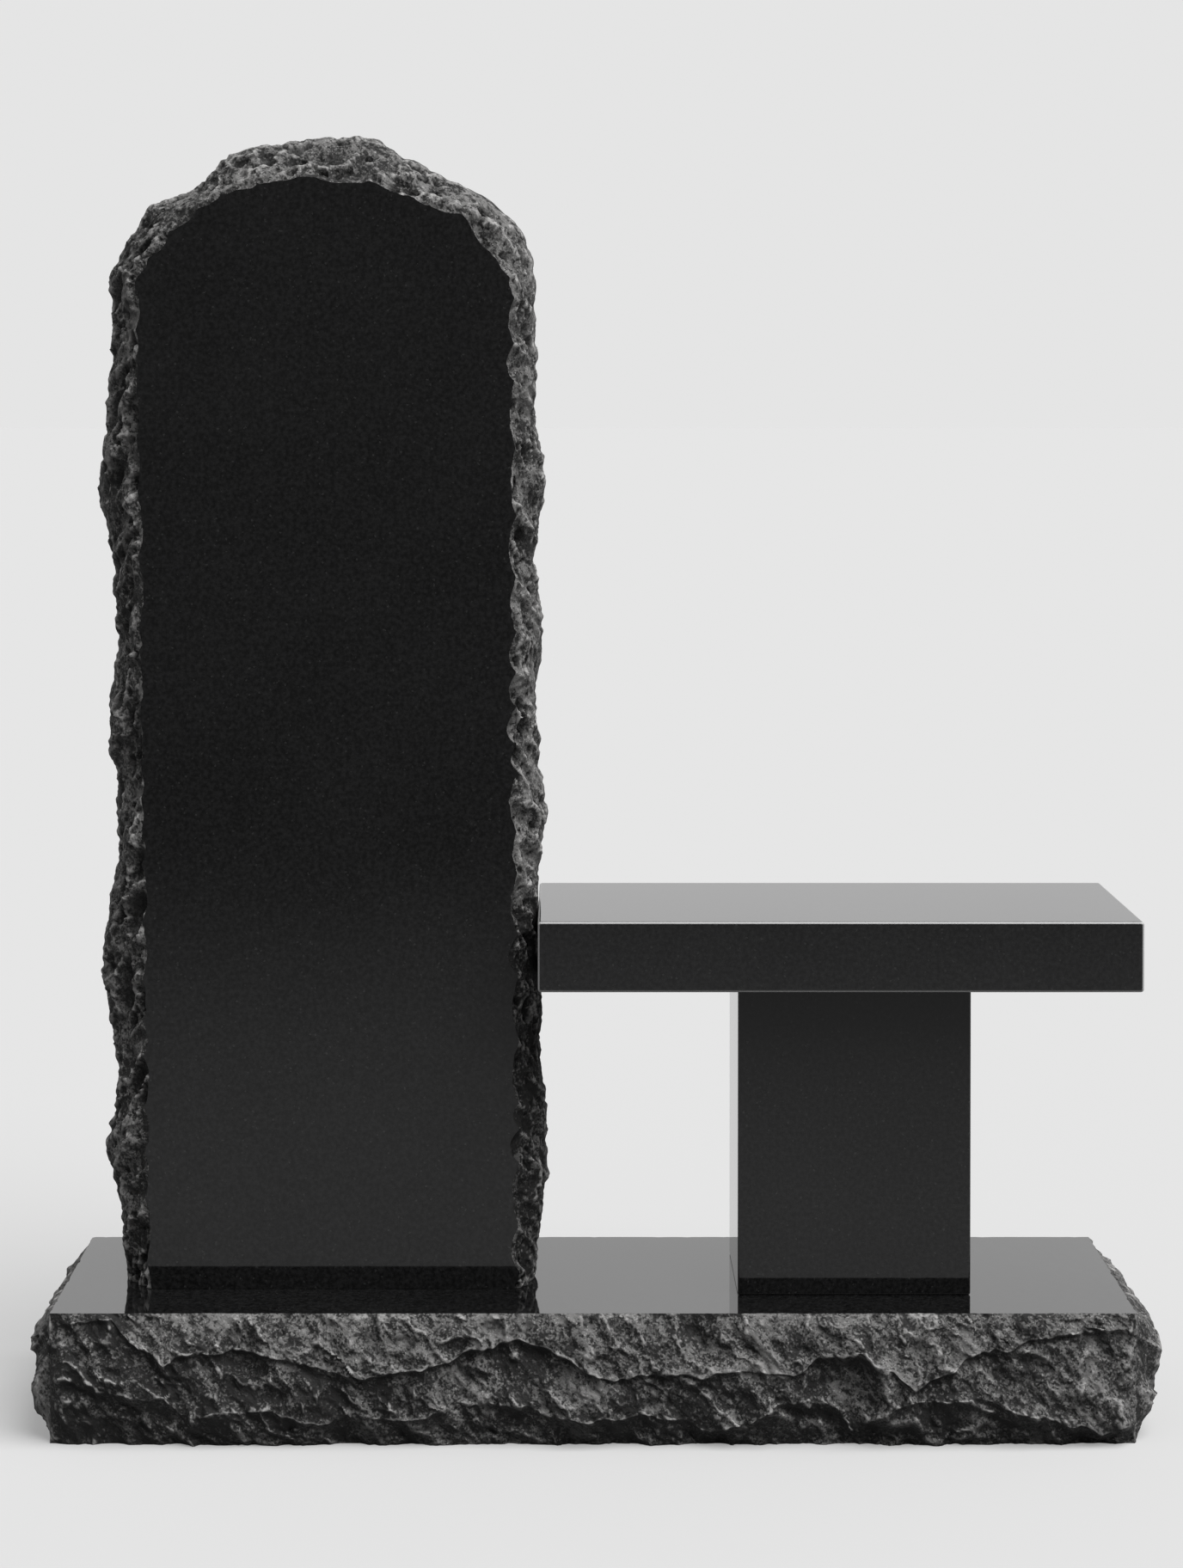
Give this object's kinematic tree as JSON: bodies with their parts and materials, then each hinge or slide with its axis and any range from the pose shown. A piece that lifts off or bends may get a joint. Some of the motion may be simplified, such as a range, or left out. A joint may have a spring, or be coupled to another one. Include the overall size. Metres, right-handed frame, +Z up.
{
  "type": "memorial bench",
  "caption": "Granite memorial bench: an upright tablet with an arched rock-pitched edge and a polished seat on a pedestal, standing on one rock-pitched base.",
  "frame": {"origin": "centre of the base's underside, on the ground", "axes": "+X from the tablet towards the seat, -Y to the front (the tablet's polished face), +Z up"},
  "size_m": [1.32, 0.43, 1.5137],
  "materials": {
    "rock_granite": "matte",
    "polished_granite": "polished"
  },
  "bodies": {
    "root": {"rock_pitched_base": "rock_granite", "upright_tablet": "rock_granite", "seat_slab": "polished_granite", "pedestal": "polished_granite"}
  },
  "joints": []
}
